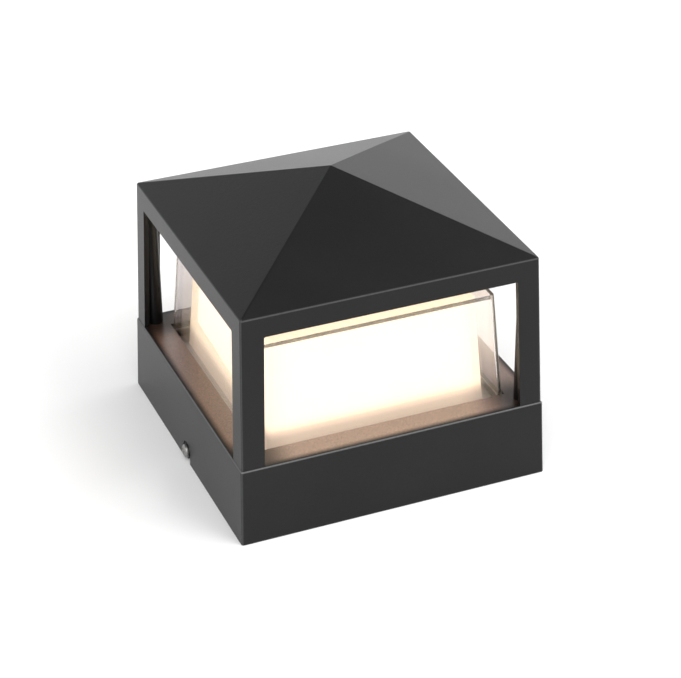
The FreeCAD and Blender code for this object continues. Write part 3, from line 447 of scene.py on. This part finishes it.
# ---- mesh helpers --------------------------------------------------------------------------------
def to_object(name, mesh, materials, smooth_angle=None):
    """A piece at the origin, with its normals split where faces meet more sharply than the angle."""
    for material in materials:
        mesh.materials.append(material)
    if smooth_angle is not None:
        mesh.shade_smooth()
        mesh.set_sharp_from_angle(angle=math.radians(smooth_angle))
    piece = bpy.data.objects.new(name, mesh)
    bpy.context.scene.collection.objects.link(piece)
    return piece


def evaluated_mesh(holder):
    """The object's mesh with its modifiers applied, as new data."""
    bpy.context.view_layer.update()
    ready = holder.evaluated_get(bpy.context.evaluated_depsgraph_get())
    return bpy.data.meshes.new_from_object(ready)


def from_bmesh(name, bm):
    bmesh.ops.recalc_face_normals(bm, faces=bm.faces)
    mesh = bpy.data.meshes.new(name)
    bm.to_mesh(mesh)
    bm.free()
    return mesh


def square_ring(half, radius, z, steps=10):
    """Points round a square with round corners."""
    points = []
    for turn in range(4):
        spin = Matrix.Rotation(math.radians(90 * turn), 3, "Z")
        centre = Vector((half - radius, half - radius, z))
        for step in range(steps + 1):
            angle = math.radians(90 * step / steps)
            offset = Vector((math.cos(angle), math.sin(angle), 0)) * radius
            points.append(spin @ (centre + offset))
    return points


def lofted(name, rings):
    """A closed skin through rings of equally many points, with a flat face at each end."""
    bm = bmesh.new()
    layers = [[bm.verts.new(point) for point in ring] for ring in rings]
    for low, high in zip(layers, layers[1:]):
        for index in range(len(low)):
            after = (index + 1) % len(low)
            bm.faces.new((low[index], low[after], high[after], high[index]))
    bm.faces.new(layers[0])
    bm.faces.new(layers[-1])
    return from_bmesh(name, bm)


def cup_rings(half_at, wall_low, top, edge, corner, steps=5):
    """Rings up a drafted wall and round its top edge, ending at the flat top."""
    rings = [square_ring(half_at(wall_low), corner, wall_low)]
    bend = top - edge
    for step in range(steps + 1):
        angle = math.radians(90 * step / steps)
        z = bend + edge * math.sin(angle)
        drop = edge * (1 - math.cos(angle))
        rings.append(square_ring(half_at(bend) - drop, max(corner - drop, edge * 0.2), z))
    return rings


# ---- shade and diffuser --------------------------------------------------------------------------
def drafted(half, z_half, wall=0.0):
    """Half the width at a height, of a cup that is half wide at z_half, less a wall."""
    return lambda z: half - (z - z_half) * SHADE_SLOPE - wall


def make_clear_shade():
    """The clear cup: its flange lies under the deck."""
    (_, _, low), (flange_half, _, top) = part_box("clear_shade")
    flange_top = low + FLANGE_HEIGHT
    skin = drafted(SHADE_FOOT_HALF, DECK)
    hollow = drafted(SHADE_FOOT_HALF, DECK, SHADE_WALL)
    inside = cup_rings(hollow, low, top - SHADE_CEILING, INNER_EDGE, INNER_CORNER)
    outside = cup_rings(skin, flange_top, top, SHADE_EDGE, SHADE_CORNER)
    flange = [square_ring(flange_half, FLANGE_CORNER, z) for z in (low, flange_top)]
    mesh = lofted("clear_cover", inside[::-1] + flange + outside)
    piece = to_object("clear_cover", mesh, [clear_plastic()], 35)
    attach(piece, "lamp")
    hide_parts("clear_shade")


def make_diffuser():
    """The opal cup inside the clear one."""
    (_, _, foot), (half, _, top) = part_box("opal_diffuser")
    skin, hollow = drafted(half, foot), drafted(half, foot, OPAL_WALL)
    inside = cup_rings(hollow, foot, top - OPAL_WALL, INNER_EDGE, INNER_CORNER)
    outside = cup_rings(skin, foot, top, OPAL_EDGE, OPAL_CORNER)
    mesh = lofted("glowing_diffuser", inside[::-1] + outside)
    piece = to_object("glowing_diffuser", mesh, [opal_glow()], 35)
    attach(piece, "lamp")
    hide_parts("opal_diffuser")


# ---- screws --------------------------------------------------------------------------------------
def turned(bm, profile, steps=48):
    """Turns a profile of (radius, height) about Z; points on the axis close the ends."""
    rows = []
    for radius, z in profile:
        if radius == 0:
            rows.append([bm.verts.new((0, 0, z))])
            continue
        angles = [2 * math.pi * step / steps for step in range(steps)]
        rows.append([bm.verts.new((radius * math.cos(a), radius * math.sin(a), z)) for a in angles])
    for low, high in zip(rows, rows[1:]):
        for step in range(steps):
            after = (step + 1) % steps
            if len(low) == 1:
                bm.faces.new((low[0], high[after], high[step]))
            elif len(high) == 1:
                bm.faces.new((low[step], low[after], high[0]))
            else:
                bm.faces.new((low[step], low[after], high[after], high[step]))


def cross_cutter(reach, width, depth, top):
    """The tapered cross that a driver fits."""
    above, flare, taper, narrowing = 0.3 * MM, 1.08, 0.62, 0.92
    bm = bmesh.new()
    for length, breadth in ((reach, width), (width, reach)):
        rows = []
        for z, share in ((top + above, flare), (top - depth, taper)):
            x = length * (share if length > breadth else narrowing)
            y = breadth * (share if breadth > length else narrowing)
            corners = ((-x, -y), (x, -y), (x, y), (-x, y))
            rows.append([bm.verts.new((a, b, z)) for a, b in corners])
        for step in range(4):
            after = (step + 1) % 4
            bm.faces.new((rows[0][step], rows[0][after], rows[1][after], rows[1][step]))
        bm.faces.new(rows[0])
        bm.faces.new(rows[1][::-1])
    return from_bmesh("cross", bm)


def thread_profile(radius, length, pitch):
    """The thread's outline from its point up to the head: one ridge and one groove to a pitch."""
    point, root, plain = radius * 0.5, radius * 0.84, 0.2 * MM
    z = -length + point
    profile = [(0, -length), (radius * 0.62, -length), (radius * 0.95, z)]
    for ring in range(int((length - radius) / (pitch / 2))):
        z += pitch / 2
        profile.append((radius if ring % 2 else root, z))
    return profile + [(radius, -plain), (radius, 0)]


def pan_profile(radius, height, steps=8):
    """The head's outline from its seat to the middle of its top."""
    chamfer, upright, crown, dome = 0.15 * MM, 0.38, 0.52, 0.56
    profile = [(radius - chamfer, 0), (radius, chamfer), (radius, height * upright)]
    for step in range(1, steps):
        angle = math.radians(90 * step / steps)
        bend = radius * (crown + (1 - crown) * math.cos(angle))
        profile.append((bend, height * (upright + dome * math.sin(angle))))
    return profile + [(radius * 0.35, height * 0.985), (0, height)]


def screw_mesh(name, head, head_height, length):
    """An M4 pan-head screw along Z with its seat at 0, its head above and its thread below."""
    bm = bmesh.new()
    turned(bm, thread_profile(M4_RADIUS, length, M4_PITCH) + pan_profile(head, head_height))
    body = bpy.data.objects.new("blank", from_bmesh("blank", bm))
    cross = cross_cutter(head * 0.56, head * 0.135, head_height * 0.62, head_height)
    cutter = bpy.data.objects.new("cutter", cross)
    for made in (body, cutter):
        bpy.context.scene.collection.objects.link(made)
    recess = body.modifiers.new("recess", "BOOLEAN")
    recess.operation, recess.object, recess.solver = "DIFFERENCE", cutter, "EXACT"
    recess.use_self = True
    mesh = evaluated_mesh(body)
    mesh.name = name
    for made in (body, cutter):
        bpy.data.objects.remove(made)
    return mesh


def make_side_screw(side, word):
    """A side screw with its head against the washer on the base wall."""
    node = f"side_screw_{word}"
    low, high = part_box(node)
    outer = max(abs(low[0]), abs(high[0]))
    inner = min(abs(low[0]), abs(high[0]))
    seat = outer - PAN_HEIGHT
    mesh = screw_mesh(node, SIDE_PAN_RADIUS, SIDE_PAN_HEIGHT, seat - inner)
    place = Matrix.Translation((side * seat, 0, (low[2] + high[2]) / 2))
    outward = Matrix.Rotation(math.radians(90 * side), 4, "Y")
    cross_turn = Matrix.Rotation(0.35, 4, "Z")
    mesh.transform(place @ outward @ cross_turn)
    finish = steel(f"stainless_{word}", DULL_STAINLESS, 0.3)
    piece = to_object(f"pan_screw_{word}", mesh, [finish], 32)
    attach(piece, f"{word}_screw")
    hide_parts(node)


# ---- copies --------------------------------------------------------------------------------------
def copier_tree():
    """A tree that puts a piece on each point, turned further each time, and gives it a finish.

    Returns the tree and the identifier of each named input.
    """
    tree = bpy.data.node_groups.new("copies", "GeometryNodeTree")
    kinds = {
        "Places": "NodeSocketGeometry",
        "Piece": "NodeSocketObject",
        "Turn between copies": "NodeSocketFloat",
        "Finish": "NodeSocketMaterial",
    }
    keys = {}
    for name, kind in kinds.items():
        keys[name] = tree.interface.new_socket(name, in_out="INPUT", socket_type=kind).identifier
    tree.interface.new_socket("Copies", in_out="OUTPUT", socket_type="NodeSocketGeometry")

    def add(kind, links, out=0):
        """One output of a new node, whose inputs are linked by name or by number."""
        node = tree.nodes.new(kind)
        for key, socket in links.items():
            tree.links.new(socket, node.inputs[key])
        return node.outputs[out]

    entry = tree.nodes.new("NodeGroupInput").outputs
    piece = add("GeometryNodeObjectInfo", {"Object": entry["Piece"]}, "Geometry")
    number = add("GeometryNodeInputIndex", {})
    spin = add("ShaderNodeMath", {0: number, 1: entry["Turn between copies"]})
    spin.node.operation = "MULTIPLY"
    angle = add("ShaderNodeCombineXYZ", {"Z": spin})
    on_points = {"Points": entry["Places"], "Instance": piece, "Rotation": angle}
    copies = add("GeometryNodeInstanceOnPoints", on_points)
    solid = add("GeometryNodeRealizeInstances", {"Geometry": copies})
    finished = add("GeometryNodeSetMaterial", {"Geometry": solid, "Material": entry["Finish"]})
    tree.links.new(finished, tree.nodes.new("NodeGroupOutput").inputs[0])
    return tree, keys


def copied(name, mesh, places, finish, turn=0.0):
    """A piece made of copies of a mesh, one at each place, as one plain mesh."""
    cloud = bpy.data.meshes.new("places")
    cloud.from_pydata(places, [], [])
    source = bpy.data.objects.new("source", mesh)
    holder = bpy.data.objects.new("holder", cloud)
    for made in (source, holder):
        bpy.context.scene.collection.objects.link(made)
    tree, keys = copier_tree()
    copier = holder.modifiers.new("copies", "NODES")
    copier.node_group = tree
    copier[keys["Piece"]] = source
    copier[keys["Turn between copies"]] = turn
    copier[keys["Finish"]] = finish
    whole = evaluated_mesh(holder)
    whole.materials.clear()  # with it goes the empty slot of the joined copies
    for made in (source, holder):
        bpy.data.objects.remove(made)
    return to_object(name, whole, [finish], 32)


def make_long_screws():
    """The four screws through the bottom cover, heads down."""
    low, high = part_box("long_screws")
    reach = high[0] - PAN_RADIUS
    seat = low[2] + PAN_HEIGHT
    mesh = screw_mesh("long_screw", PAN_RADIUS, PAN_HEIGHT, high[2] - seat)
    mesh.transform(Matrix.Rotation(math.pi, 4, "X"))
    places = [(x * reach, y * reach, seat) for x in (1, -1) for y in (1, -1)]
    finish = steel("stainless_long", (0.62, 0.61, 0.59), 0.24)
    piece = copied("cover_screws", mesh, places, finish, turn=1.1)
    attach(piece, "lamp")
    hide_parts("long_screws")


def led_package(height):
    """A package with a sunk window, standing on its seat at 0."""
    bm = bmesh.new()
    bmesh.ops.create_cube(bm, size=1.0, matrix=Matrix.Diagonal((LED_LENGTH, LED_WIDTH, height, 1.0)))
    bmesh.ops.translate(bm, verts=bm.verts, vec=(0, 0, height / 2))
    top = max(bm.faces, key=lambda face: face.calc_center_median().z)
    bmesh.ops.inset_region(bm, faces=[top], thickness=LED_RIM, depth=0.0)
    bmesh.ops.translate(bm, verts=top.verts, vec=(0, 0, -LED_WINDOW_DEPTH))
    return from_bmesh("package", bm)


def make_led_packages():
    """The packages on the board's grid, which leaves its middle place free for the lead hole."""
    low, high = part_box("led_chips")
    mesh = led_package(high[2] - low[2])
    middle = LEDS_PER_SIDE // 2
    places = [
        ((column - middle) * LED_PITCH, (row - middle) * LED_PITCH, low[2])
        for row in range(LEDS_PER_SIDE)
        for column in range(LEDS_PER_SIDE)
        if (row, column) != (middle, middle)
    ]
    piece = copied("led_packages", mesh, places, moulded("package_white", (0.86, 0.86, 0.84), 0.35))
    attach(piece, "lamp")
    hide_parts("led_chips")


make_clear_shade()
make_diffuser()
make_side_screw(-1, "left")
make_side_screw(1, "right")
make_long_screws()
make_led_packages()


# ---- studio --------------------------------------------------------------------------------------
def light(kind, name, place, target, **settings):
    """A light at a place, turned to a target."""
    lamp = bpy.data.lights.new(name, kind)
    for key, value in settings.items():
        setattr(lamp, key, value)
    holder = bpy.data.objects.new(name, lamp)
    bpy.context.scene.collection.objects.link(holder)
    holder.location = place
    holder.rotation_euler = (Vector(target) - Vector(place)).to_track_quat("-Z", "Y").to_euler()


def make_world():
    """A studio tent: white low down, darker overhead."""
    world = bpy.data.worlds.new("studio")
    bpy.context.scene.world = world
    world.use_nodes = True
    tree = world.node_tree
    sky = tree.nodes["Background"]
    direction = Field.made(tree, "ShaderNodeTexCoord", {}, {}, "Generated")
    height = Field.made(tree, "ShaderNodeSeparateXYZ", {}, {0: direction}, "Z").rise(0.3, 0.85)
    plug(tree, sky.inputs["Color"], 1.12 - height * 0.84)
    sky.inputs["Strength"].default_value = 1.0


def make_floor():
    """Pale paper a hair below the light, so that their faces don't lie in one plane."""
    bm = bmesh.new()
    bmesh.ops.create_circle(bm, cap_ends=True, radius=FLOOR_RADIUS, segments=96)
    mesh = from_bmesh("floor", bm)
    paper = Finish("pale_floor")
    cloud = paper.noise(3.0, 3.0)
    paper.set(Base_Color=paper.mix(cloud, (0.89, 0.89, 0.89), (0.91, 0.91, 0.91)))
    paper.set(Roughness=0.9 + cloud * 0.05)
    floor = to_object("floor", mesh, [paper.material])
    floor.location.z = -FLOOR_DROP


def make_camera():
    """The photograph's view: place, direction and field from the light's own corners."""
    data = bpy.data.cameras.new("camera")
    camera = bpy.data.objects.new("camera", data)
    bpy.context.scene.collection.objects.link(camera)
    forward = Vector(CAMERA_FORWARD).normalized()
    right = forward.cross(Vector(CAMERA_UP).normalized()).normalized()
    turn = Matrix((right, right.cross(forward), -forward)).transposed().to_4x4()
    camera.matrix_world = Matrix.Translation(CAMERA_PLACE) @ turn
    data.sensor_fit, data.sensor_width = "HORIZONTAL", SENSOR_WIDTH
    data.lens = FOCAL_PIXELS / PHOTO_WIDTH * SENSOR_WIDTH
    data.clip_start, data.clip_end = 0.01, 50.0
    bpy.context.scene.camera = camera


make_world()
make_floor()
make_camera()
light("SUN", "key", (-0.5, -0.62, 0.85), (0, 0, 0), energy=1.5, angle=math.radians(60))
light("SUN", "fill", (0.6, -0.45, 0.9), (0, 0, 0), energy=1.5, angle=math.radians(70))
strip = {"shape": "RECTANGLE", "size": 0.6, "size_y": 0.12, "energy": 5.0}
light("AREA", "edge_strip", (0.55, -0.85, 1.3), (0, 0, 0.05), **strip)
bpy.context.scene.view_settings.view_transform = "Standard"
bpy.context.scene.view_settings.look = "None"
